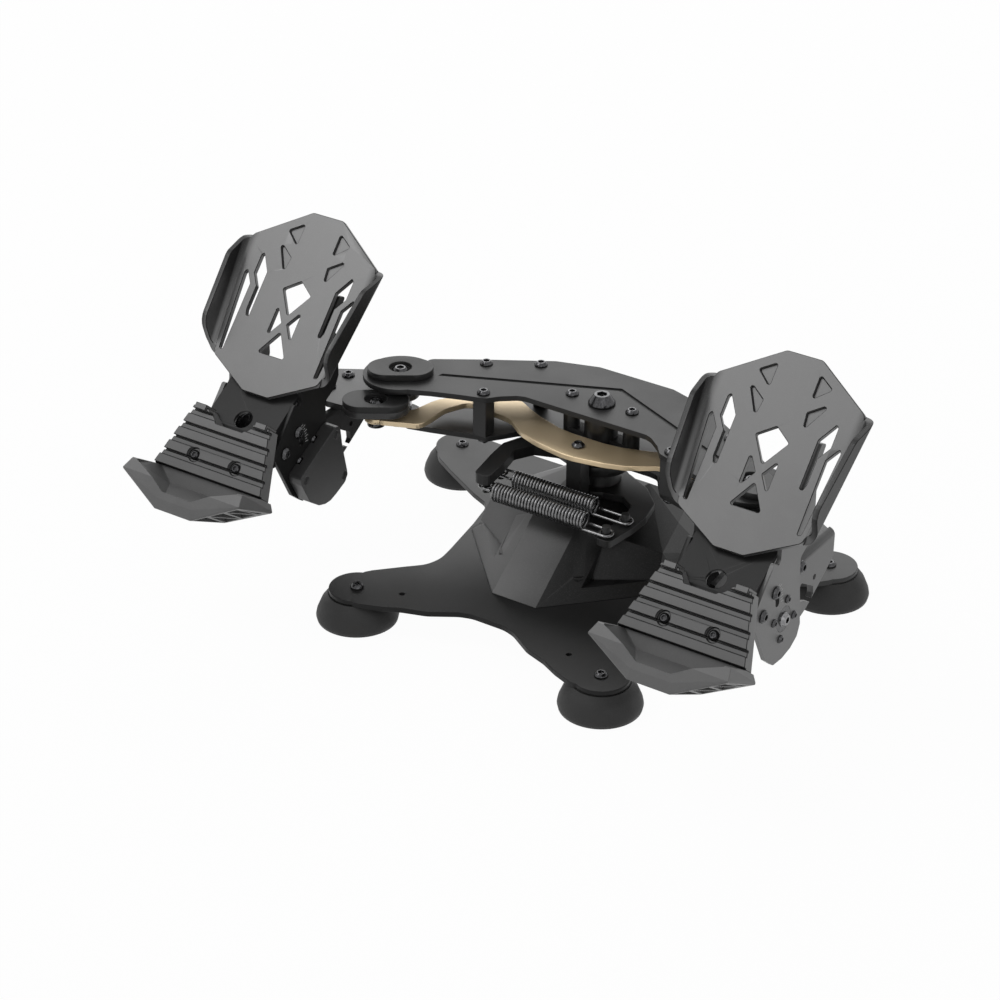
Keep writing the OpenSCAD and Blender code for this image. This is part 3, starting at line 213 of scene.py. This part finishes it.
def makeRubberGroup():
    # Moulded rubber: pebbled skin, with pale dust gathering in patches near the floor.
    look = rubberLook
    tree, entry, leave = openGroup(
        "mouldedRubber",
        [("Vector", "vector"), ("Base Color", "color"), ("Dust Color", "color"),
         ("Pebble Scale", "value"), ("Dust Top", "value"), ("Smooth", "value"),
         ("Rough", "value")],
        [("Color", "color"), ("Roughness", "value"), ("Height", "value")])
    pebble = addNode(tree, "ShaderNodeTexVoronoi", dict(feature="SMOOTH_F1"),
                     Vector=entry["Vector"], Scale=entry["Pebble Scale"])
    patch = addNode(tree, "ShaderNodeTexNoise", Vector=entry["Vector"],
                    Scale=look["patchScale"], Detail=look["patchDetail"])
    parts = addNode(tree, "ShaderNodeSeparateXYZ", Vector=entry["Vector"])
    low = remap(tree, parts.outputs["Z"], 0, entry["Dust Top"], look["dustBelow"],
                look["dustAbove"])
    patchy = remap(tree, patch.outputs["Fac"], look["patchLow"], look["patchHigh"], 0, 1)
    dusty = addNode(tree, "ShaderNodeMath", dict(operation="MULTIPLY"), i0=low, i1=patchy)
    tree.links.new(blend(tree, dusty.outputs[0], entry["Base Color"], entry["Dust Color"]),
                   leave["Color"])
    rough = remap(tree, patch.outputs["Fac"], look["roughLow"], look["roughHigh"],
                  entry["Smooth"], entry["Rough"])
    tree.links.new(rough, leave["Roughness"])
    tree.links.new(pebble.outputs["Distance"], leave["Height"])
    return tree


boardLook = dict(trackGap=0.03, trackLong=1.4, trackTall=0.5, padSpread=0.35, padEdge=0.16,
                 padEnd=0.2, maskRough=0.42, padRough=0.25)


def makeBoardGroup():
    # Circuit board: solder mask with copper tracks below it and rows of tinned pads.
    look = boardLook
    tree, entry, leave = openGroup(
        "boardTracks",
        [("Vector", "vector"), ("Mask Color", "color"), ("Track Color", "color"),
         ("Pad Color", "color"), ("Track Scale", "value")],
        [("Color", "color"), ("Roughness", "value"), ("Height", "value")])
    track = addNode(tree, "ShaderNodeTexBrick", Vector=entry["Vector"], Scale=entry["Track Scale"],
                    Color1=black, Color2=black, Mortar=white,
                    Mortar_Size=look["trackGap"], Brick_Width=look["trackLong"],
                    Row_Height=look["trackTall"])
    pads = addNode(tree, "ShaderNodeTexVoronoi", dict(feature="F1"), Vector=entry["Vector"],
                   Scale=entry["Track Scale"], Randomness=look["padSpread"])
    lines = blend(tree, track.outputs["Color"], entry["Mask Color"], entry["Track Color"])
    dots = remap(tree, pads.outputs["Distance"], look["padEdge"], look["padEnd"], 1, 0)
    tree.links.new(blend(tree, dots, lines, entry["Pad Color"]), leave["Color"])
    tree.links.new(remap(tree, dots, 0, 1, look["maskRough"], look["padRough"]),
                   leave["Roughness"])
    tree.links.new(dots, leave["Height"])
    return tree


groups = dict(coat=makeCoatGroup(), brush=makeBrushGroup(), rubber=makeRubberGroup(),
              board=makeBoardGroup())
print("shader groups made")


def makeFinish(name, group, values, fixed, bumpDepth, bumpStrength):
    material = bpy.data.materials.new(name)
    material.use_nodes = True
    tree = material.node_tree
    shader = tree.nodes["Principled BSDF"]
    for label, value in fixed.items():
        shader.inputs[label].default_value = value
    place = tree.nodes.new("ShaderNodeTexCoord")
    effect = tree.nodes.new("ShaderNodeGroup")
    effect.node_tree = groups[group]
    tree.links.new(place.outputs["Object"], effect.inputs["Vector"])
    for label, value in values.items():
        effect.inputs[label].default_value = value
    bump = tree.nodes.new("ShaderNodeBump")
    bump.inputs["Strength"].default_value = bumpStrength
    bump.inputs["Distance"].default_value = bumpDepth
    tree.links.new(effect.outputs["Height"], bump.inputs["Height"])
    tree.links.new(bump.outputs["Normal"], shader.inputs["Normal"])
    tree.links.new(effect.outputs["Color"], shader.inputs["Base Color"])
    tree.links.new(effect.outputs["Roughness"], shader.inputs["Roughness"])
    return material


# Coats: a tone, and a second tone that it grades to with the distance from a place as painted
# light and shade, then grain and gloss.
farLeft, farFront, pedalMiddle = (-1, 0, 0), (0, -1, 0), 0.19
coats = dict(
    # Coats with no centre grade with height. All but the carrier sheet turn lighter higher up:
    # painted shade low down.
    black_coat=dict(tone=0.015, paintedShadingTone=0.018, start=0.05, end=0.12, grain=1900, cloud=22,
                    smooth=0.34, rough=0.46, metal=0.1, shine=0.45, bump=0.35),
    # Grey coat: lighter on the left, darker to the right. This is painted light from the left and
    # painted shade on the right.
    grey_coat=dict(tone=0.028, paintedShadingTone=0.019, center=farLeft, along=(1, 0, 0), start=0.88,
                   end=1.06, grain=1700, cloud=16, smooth=0.36, rough=0.46, metal=0.05,
                   shine=0.22, bump=0.3),
    # Grey plastic: darker on the front faces, lighter towards the back and top. This is painted
    # light on the top faces.
    grey_plastic=dict(tone=0.112, paintedShadingTone=0.235, center=farFront, along=(0, 1, 0.3), start=0.92,
                      end=0.98, grain=1300, cloud=30, smooth=0.40, rough=0.52, metal=0, shine=0.5,
                      bump=0.4),
    # Outer arms: a lit copy of the arm sheet, much lighter than the inner arms.
    armSheet=dict(tone=0.120, paintedShadingTone=0.142, start=0.04, end=0.14, grain=1700, cloud=14,
                  smooth=0.34, rough=0.44, metal=0.3, shine=0.5, bump=0.3),
    # Base plate: dark at the front, lighter towards the back. This is a painted sheen.
    basePlate=dict(tone=0.010, paintedShadingTone=0.060, center=farFront, along=(0, 1, 0), start=0.96,
                   end=1.1, grain=1900, cloud=14, smooth=0.34, rough=0.44, metal=0.1,
                   shine=0.2, bump=0.35),
    # Base cover: light on the left, near black on the right. This is painted light from the left
    # and painted shade on the right.
    baseCover=dict(tone=0.130, paintedShadingTone=0.005, center=farLeft, along=(1, 0, 0), start=0.95,
                   end=1.03, grain=1700, cloud=20, smooth=0.34, rough=0.44, metal=0,
                   shine=0.3, bump=0.3),
    # Toe plates: the left plate is lighter than the right, lit and shaded copies of one coat. The
    # side lips past about 50 mm from each pedal's middle go near black: painted shade.
    leftToePlate=dict(tone=0.151, paintedShadingTone=0.012, center=(-pedalMiddle, 0, 0), along=(1, 0, 0),
                      start=0.048, end=0.057, grain=1700, cloud=12, smooth=0.34, rough=0.44,
                      metal=0.35, shine=0.5, bump=0.3),
    rightToePlate=dict(tone=0.130, paintedShadingTone=0.012, center=(pedalMiddle, 0, 0), along=(1, 0, 0),
                       start=0.048, end=0.057, grain=1700, cloud=12, smooth=0.34, rough=0.44,
                       metal=0.35, shine=0.5, bump=0.3),
    # Dark sheet: the inner arms and the heel brackets under the toe plates, a shaded copy of the
    # arm sheet. This is painted shade between the parts. It also gives the painted shade on the
    # rounded edges of the toe plates and heel pads.
    darkSheetAndPaintedShade=dict(tone=0.007, paintedShadingTone=0.018, start=0.06, end=0.12, grain=1900, cloud=20,
                   smooth=0.28, rough=0.38, metal=0, shine=0.16, bump=0.25),
    # Carrier plates: lighter below about 114 mm and darker above. These are the lit and shaded
    # faces of one sheet, painted into its tone.
    carrierSheet=dict(tone=0.128, paintedShadingTone=0.060, start=0.1135, end=0.1155, grain=1700, cloud=16,
                      smooth=0.34, rough=0.44, metal=0.2, shine=0.4, bump=0.3),
    bracketSheet=dict(tone=0.018, paintedShadingTone=0.028, start=0.06, end=0.12, grain=1700, cloud=16,
                      smooth=0.32, rough=0.42, metal=0.1, shine=0.3, bump=0.3),
    housingShell=dict(tone=0.034, paintedShadingTone=0.044, start=0.04, end=0.1, grain=1500, cloud=26,
                      smooth=0.34, rough=0.46, metal=0, shine=0.45, bump=0.35),
    endPad=dict(tone=0.033, paintedShadingTone=0.040, start=0.12, end=0.14, grain=1300, cloud=30,
                smooth=0.34, rough=0.44, metal=0, shine=0.2, bump=0.35),
    paleEngraving=dict(tone=0.62, paintedShadingTone=0.72, start=0, end=0.2, grain=1500, cloud=90,
                       smooth=0.5, rough=0.62, metal=0, shine=0.5, bump=0.2),
)


coatTones = dict(cloud=1.22, fleck=2, fleckLift=0.02, palest=0.8, bumpDepth=0.00006)


def coatFinish(name):
    coat = coats[name]
    fleck = min(coat["tone"] * coatTones["fleck"] + coatTones["fleckLift"], coatTones["palest"])
    return makeFinish(name + "Finish", "coat", {
        "Base Color": grey(coat["tone"]), "Cloud Color": grey(coat["tone"] * coatTones["cloud"]),
        "Fleck Color": grey(fleck), "Painted Shading Color": grey(coat["paintedShadingTone"]),
        "Painted Shading Center": coat.get("center", (0, 0, 0)), "Painted Shading Along": coat.get("along", (0, 0, 1)),
        "Painted Shading Start": coat["start"], "Painted Shading End": coat["end"],
        "Grain Scale": coat["grain"], "Cloud Scale": coat["cloud"], "Smooth": coat["smooth"],
        "Rough": coat["rough"]},
        {"Metallic": coat["metal"], "Specular IOR Level": coat["shine"]}, coatTones["bumpDepth"],
        coat["bump"])


finishes = {name: coatFinish(name) for name in coats}
finishes.update(
    rubber=makeFinish(
        "blackRubber", "rubber",
        {"Base Color": grey(0.017), "Dust Color": (0.06, 0.058, 0.055, 1),
         "Pebble Scale": 900, "Dust Top": 0.014, "Smooth": 0.52, "Rough": 0.68},
        {"Metallic": 0, "IOR": 1.45}, bumpDepth=0.0002, bumpStrength=0.35),
    # Gold link: lighter towards the left. This is painted light.
    gold_anodised=makeFinish(
        "champagneAnodised", "coat",
        {"Base Color": (0.64, 0.50, 0.31, 1), "Cloud Color": (0.70, 0.55, 0.35, 1),
         "Fleck Color": (0.78, 0.64, 0.44, 1), "Painted Shading Color": (0.76, 0.61, 0.40, 1),
         "Painted Shading Center": farLeft, "Painted Shading Along": (1, 0, 0), "Painted Shading Start": 1.06, "Painted Shading End": 0.92,
         "Grain Scale": 2300, "Cloud Scale": 18, "Smooth": 0.3, "Rough": 0.38},
        {"Metallic": 0.6, "IOR": 1.5}, bumpDepth=0.00005, bumpStrength=0.3),
    circuit_board=makeFinish(
        "circuitBoard", "board",
        {"Mask Color": (0.006, 0.03, 0.012, 1), "Track Color": (0.012, 0.06, 0.022, 1),
         "Pad Color": (0.5, 0.48, 0.42, 1), "Track Scale": 260},
        {"Metallic": 0.1, "IOR": 1.5}, bumpDepth=0.0001, bumpStrength=0.4),
    spring_steel=makeFinish(
        "oiledSpringSteel", "brush",
        {"Base Color": (0.14, 0.14, 0.142, 1), "Streak Color": (0.24, 0.24, 0.243, 1),
         "Stretch": (1, 1, 1), "Streak Scale": 420, "Smooth": 0.18, "Rough": 0.3},
        {"Metallic": 0.9, "IOR": 1.5}, bumpDepth=0.00004, bumpStrength=0.25),
    black_bolts=makeFinish(
        "blackOxideSteel", "brush",
        {"Base Color": (0.045, 0.045, 0.047, 1), "Streak Color": (0.09, 0.09, 0.093, 1),
         "Stretch": (1, 1, 1), "Streak Scale": 700, "Smooth": 0.12, "Rough": 0.22},
        {"Metallic": 0.9, "IOR": 1.5}, bumpDepth=0.00004, bumpStrength=0.25),
    axleSteel=makeFinish(
        "turnedAxleSteel", "brush",
        {"Base Color": (0.16, 0.16, 0.165, 1), "Streak Color": (0.26, 0.26, 0.265, 1),
         "Stretch": (1, 1, 1), "Streak Scale": 800, "Smooth": 0.14, "Rough": 0.24},
        {"Metallic": 1, "IOR": 1.5}, bumpDepth=0.00004, bumpStrength=0.25),
    bright_steel=makeFinish(
        "groundSteel", "brush",
        {"Base Color": (0.4, 0.4, 0.41, 1), "Streak Color": (0.56, 0.56, 0.57, 1),
         "Stretch": (0.2, 1, 1), "Streak Scale": 900, "Smooth": 0.2, "Rough": 0.33},
        {"Metallic": 1, "IOR": 1.5}, bumpDepth=0.00004, bumpStrength=0.25),
)

# Nodes whose finish isn't their slot's, many of them lit and shaded copies of one coat, and nodes
# whose rounded edges take a dark finish as painted shade along edges, pocket rims and rib grooves.
nodeFinishes = dict(base_plate="basePlate", base_cover="baseCover", left_toe_plate="leftToePlate",
                    right_toe_plate="rightToePlate", left_heel_bracket="darkSheetAndPaintedShade",
                    right_heel_bracket="darkSheetAndPaintedShade", left_inner_arm="darkSheetAndPaintedShade",
                    right_inner_arm="darkSheetAndPaintedShade", left_carrier_plate="carrierSheet",
                    right_carrier_plate="carrierSheet", left_sensor_housing="housingShell",
                    right_sensor_housing="housingShell", rocker_end_pads="endPad",
                    left_link_pad="endPad", right_link_pad="endPad", left_outer_arm="armSheet",
                    right_outer_arm="armSheet", left_carrier_bracket="bracketSheet",
                    right_carrier_bracket="bracketSheet", left_brake_axle="axleSteel",
                    right_brake_axle="axleSteel", rocker_bottom_plate="bracketSheet",
                    rocker_standoffs="bracketSheet", pivot_hub="bracketSheet",
                    left_spring_arm="bracketSheet", right_spring_arm="bracketSheet")
paintedShadeEdgeFinishes = dict(left_toe_plate="darkSheetAndPaintedShade", right_toe_plate="darkSheetAndPaintedShade",
                    left_heel_pad="darkSheetAndPaintedShade", right_heel_pad="darkSheetAndPaintedShade")
print("materials made:", len(finishes))


# Every CAD node takes its slot's finish or its own, and most take a small rounding on their edges.
edgeRound = dict(gold_anodised=0.0006, grey_coat=0.0003, black_coat=0.0004, grey_plastic=0.0005,
                 rubber=0.0008, black_bolts=0.0003, bright_steel=0.0003, circuit_board=0.0001)
edgeLimits = dict(bevelAngle=math.radians(60), weldGap=0.000002, segments=2, paintedShadeEdgeWidth=0.00045)
# Thin or slotted nodes whose rounding keeps its clamp. On the four arms that leaves it no width.
heldEdges = ["left_inner_arm", "right_inner_arm", "left_outer_arm", "right_outer_arm",
             "left_brake_axle", "right_brake_axle", "left_carrier_bracket",
             "right_carrier_bracket"]
# The trays take no rounding, because their solids already have narrow facets on their edges.
chamferedNodes = ["left_heel_tray", "right_heel_tray"]


def dressNode(nodeName, item):
    slotName = item.data.materials[0].name.split(".")[0]
    item.data.materials[0] = finishes[nodeFinishes.get(nodeName, slotName)]
    if slotName not in edgeRound or nodeName in chamferedNodes:
        return
    weld = item.modifiers.new("edgeWeld", "WELD")
    weld.merge_threshold = edgeLimits["weldGap"]
    rounding = item.modifiers.new("edgeRound", "BEVEL")
    rounding.width = edgeRound[slotName]
    rounding.segments = edgeLimits["segments"]
    rounding.limit_method = "ANGLE"
    rounding.angle_limit = edgeLimits["bevelAngle"]
    rounding.harden_normals = True
    rounding.loop_slide = False
    rounding.use_clamp_overlap = nodeName in heldEdges
    # Toe plates and heel pads: the rounded edges take the dark sheet, painted shade along edges,
    # pocket rims and rib grooves.
    if nodeName in paintedShadeEdgeFinishes:
        item.data.materials.append(finishes[paintedShadeEdgeFinishes[nodeName]])
        rounding.material = len(item.data.materials) - 1
        rounding.width = edgeLimits["paintedShadeEdgeWidth"]


for nodeName, item in cadNodes.items():
    dressNode(nodeName, item)
print("CAD nodes dressed")


# Helpers for new pieces, all in metres and in the part's own frame.
def settle(name, finish, body, smoothAngle=40):
    piece = bpy.context.object
    piece.name = name
    piece.data.name = name
    bpy.ops.object.transform_apply(location=True, rotation=True, scale=True)
    bpy.ops.object.mode_set(mode="EDIT")
    bpy.ops.mesh.select_all(action="SELECT")
    bpy.ops.mesh.normals_make_consistent(inside=False)
    bpy.ops.object.mode_set(mode="OBJECT")
    bpy.ops.object.shade_smooth_by_angle(angle=math.radians(smoothAngle))
    piece.data.materials.clear()
    piece.data.materials.append(finishes[finish])
    if body:
        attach(piece, body)
    return piece


def joinAll(parts):
    bpy.ops.object.select_all(action="DESELECT")
    for part in parts:
        part.select_set(True)
    bpy.context.view_layer.objects.active = parts[0]
    bpy.ops.object.join()
    return bpy.context.object


def rod(start, end, radius, sides=16):
    start, end = Vector(start), Vector(end)
    bpy.ops.object.select_all(action="DESELECT")
    bpy.ops.mesh.primitive_cylinder_add(vertices=sides, radius=radius, depth=(end - start).length,
                                        location=(start + end) / 2)
    stick = bpy.context.object
    stick.rotation_euler = (end - start).to_track_quat("Z", "Y").to_euler()
    bpy.ops.object.transform_apply(location=True, rotation=True, scale=True)
    return stick


# Centring springs: a wound body and a closed loop round the pin at each end. Each is made in two
# halves that meet at the middle.
springShape = dict(wire=0.00105, coil=0.00595, ring=0.00465, wireSides=12, turnSteps=24,
                   ringSteps=40, joinShare=0.98, smoothAngle=60, middle=0.0785,
                   pinHeight=dict(left=0.0813, right=0.0750),
                   front=dict(y=0.0144, pins=dict(left=-0.0520, right=0.0480), start=-0.0450,
                              stop=0.0313, turns=dict(left=15, right=15)),
                   rear=dict(y=0.0364, pins=dict(left=-0.0545, right=0.0500), start=-0.0425,
                             stop=0.0255, turns=dict(left=14, right=13)))


def makeSpringHalf(place, side):
    shape = springShape
    run = shape[place]
    pitch = (run["stop"] - run["start"]) / sum(run["turns"].values())
    seam = run["start"] + pitch * run["turns"]["left"]
    first, last = (run["start"], seam) if side == "left" else (seam, run["stop"])
    turns = run["turns"][side]
    bpy.ops.object.select_all(action="DESELECT")
    bpy.ops.mesh.primitive_circle_add(vertices=shape["wireSides"], radius=shape["wire"],
                                      location=(shape["coil"], 0, 0),
                                      rotation=(math.pi / 2, 0, 0))
    coil = bpy.context.object
    bpy.ops.object.transform_apply(location=True, rotation=True, scale=True)
    winding = coil.modifiers.new("winding", "SCREW")
    winding.axis = "Z"
    winding.angle = math.tau * turns
    winding.screw_offset = last - first
    winding.steps = turns * shape["turnSteps"]
    winding.render_steps = winding.steps
    bpy.ops.object.modifier_apply(modifier=winding.name)
    bpy.ops.object.mode_set(mode="EDIT")
    bpy.ops.mesh.select_all(action="SELECT")
    bpy.ops.mesh.fill_holes(sides=shape["wireSides"])
    bpy.ops.object.mode_set(mode="OBJECT")
    coil.rotation_euler = (0, math.pi / 2, 0)
    coil.location = (first, run["y"], shape["middle"])
    bpy.ops.object.transform_apply(location=True, rotation=True, scale=True)
    pinX, level = run["pins"][side], shape["pinHeight"][side]
    bpy.ops.object.select_all(action="DESELECT")
    bpy.ops.mesh.primitive_torus_add(major_segments=shape["ringSteps"],
                                     minor_segments=shape["wireSides"],
                                     major_radius=shape["ring"], minor_radius=shape["wire"],
                                     location=(pinX, run["y"], level))
    bpy.ops.object.transform_apply(location=True, rotation=True, scale=True)
    parts = [coil, bpy.context.object]
    coilEnd = first if side == "left" else last
    reach = math.sqrt(shape["coil"] ** 2 - (level - shape["middle"]) ** 2) * shape["joinShare"]
    for way in (-1, 1):
        parts.append(rod((pinX, run["y"] + way * shape["ring"], level),
                         (coilEnd, run["y"] + way * reach, level), shape["wire"]))
    joinAll(parts)
    half = settle(place + "Spring" + side.title() + "Half", "spring_steel", None,
                  shape["smoothAngle"])
    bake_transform(half)
    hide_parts(place + "_spring")


for place in ("front", "rear"):
    for side in ("left", "right"):
        makeSpringHalf(place, side)
print("springs wound")


# Angle scale beside each adjustment slot: fine pale strokes, barely proud and unnumbered.
scaleMarks = dict(pivotX=0.190, pivotY=-0.0781, pivotZ=0.1158, armFace=0.03205, radius=0.0232,
                  long=0.0032, short=0.0020, wide=0.00036, proud=0.00012, first=-2, step=5,
                  count=8)


def makeScale(side, inner):
    marks = scaleMarks
    bpy.ops.object.select_all(action="DESELECT")
    bpy.ops.mesh.primitive_cube_add(size=1)
    model = bpy.context.object
    strokes = []
    for number in range(marks["count"]):
        angle = math.radians(marks["first"] + marks["step"] * number)
        length = marks["long"] if number % 2 == 0 else marks["short"]
        away = marks["radius"] + length / 2
        stroke = model.copy()
        stroke.data = model.data.copy()
        bpy.context.collection.objects.link(stroke)
        stroke.scale = (marks["proud"], length, marks["wide"])
        stroke.rotation_euler = (angle, 0, 0)
        stroke.location = (side * marks["pivotX"] - side * (1 if inner else -1) * marks["armFace"],
                           marks["pivotY"] + away * math.cos(angle),
                           marks["pivotZ"] + away * math.sin(angle))
        strokes.append(stroke)
    bpy.data.objects.remove(model)
    joinAll(strokes)
    body = "right_pedal" if side > 0 else "left_pedal"
    name = ("right" if side > 0 else "left") + ("Inner" if inner else "Outer") + "AngleScale"
    return settle(name, "paleEngraving", body)


for side in (-1, 1):
    for inner in (True, False):
        makeScale(side, inner)
print("scales marked")


# Studio: pale floor, white surroundings for what looks past the object, soft lamps.
studio = dict(floorSize=12, floorColor=grey(0.9), floorRough=0.9, floorShown=0.97,
              worldLight=0.35, aimAt=(0, 0, 0.1),
              keyPlace=(-1.2, -0.9, 2.2), keySize=1.2, keyPower=19,
              fillPlace=(1.9, -1.6, 1.4), fillSize=1.8, fillPower=5,
              rimPlace=(-0.9, 1.6, 1.3), rimSize=1.2, rimPower=10)


def seenThrough(tree, path):
    # 1 for rays that come from the camera, a mirror-like face or through glass
    direct = addNode(tree, "ShaderNodeMath", dict(operation="MAXIMUM"),
                     i0=path.outputs["Is Camera Ray"], i1=path.outputs["Is Glossy Ray"])
    return addNode(tree, "ShaderNodeMath", dict(operation="MAXIMUM"), i0=direct.outputs[0],
                   i1=path.outputs["Is Transmission Ray"]).outputs[0]


def makeFloor():
    bpy.ops.object.select_all(action="DESELECT")
    bpy.ops.mesh.primitive_plane_add(size=studio["floorSize"])
    floor = bpy.context.object
    floor.name = "studioFloor"
    material = bpy.data.materials.new("paleFloor")
    material.use_nodes = True
    tree = material.node_tree
    shader = tree.nodes["Principled BSDF"]
    shader.inputs["Base Color"].default_value = studio["floorColor"]
    shader.inputs["Roughness"].default_value = studio["floorRough"]
    shader.inputs["Specular IOR Level"].default_value = 0
    shown = addNode(tree, "ShaderNodeEmission", Color=white, Strength=1)
    path = addNode(tree, "ShaderNodeLightPath")
    seen = addNode(tree, "ShaderNodeMath", dict(operation="MULTIPLY"),
                   i0=seenThrough(tree, path), i1=studio["floorShown"])
    mixed = addNode(tree, "ShaderNodeMixShader", i0=seen.outputs[0], i1=shader.outputs[0],
                    i2=shown.outputs[0])
    tree.links.new(mixed.outputs[0], tree.nodes["Material Output"].inputs["Surface"])
    floor.data.materials.append(material)


def makeLamp(name, place, size, power):
    bpy.ops.object.light_add(type="AREA", location=place)
    lamp = bpy.context.object
    lamp.name = name
    lamp.data.size = size
    lamp.data.energy = power
    aim = Vector(studio["aimAt"]) - Vector(place)
    lamp.rotation_euler = aim.to_track_quat("-Z", "Y").to_euler()


def makeWorld():
    world = bpy.data.worlds.new("paleStudio")
    bpy.context.scene.world = world
    world.use_nodes = True
    tree = world.node_tree
    shown = tree.nodes["Background"]
    shown.inputs["Color"].default_value = white
    shown.inputs["Strength"].default_value = 1
    soft = addNode(tree, "ShaderNodeBackground", Color=white, Strength=studio["worldLight"])
    path = addNode(tree, "ShaderNodeLightPath")
    mixed = addNode(tree, "ShaderNodeMixShader", i0=seenThrough(tree, path), i1=soft.outputs[0],
                    i2=shown.outputs[0])
    tree.links.new(mixed.outputs[0], tree.nodes["World Output"].inputs["Surface"])


makeFloor()
for lampName in ("key", "fill", "rim"):
    makeLamp(lampName + "Lamp", studio[lampName + "Place"], studio[lampName + "Size"],
             studio[lampName + "Power"])
makeWorld()
bpy.context.scene.view_settings.view_transform = "Standard"
print("studio lit")

bpy.context.view_layer.update()
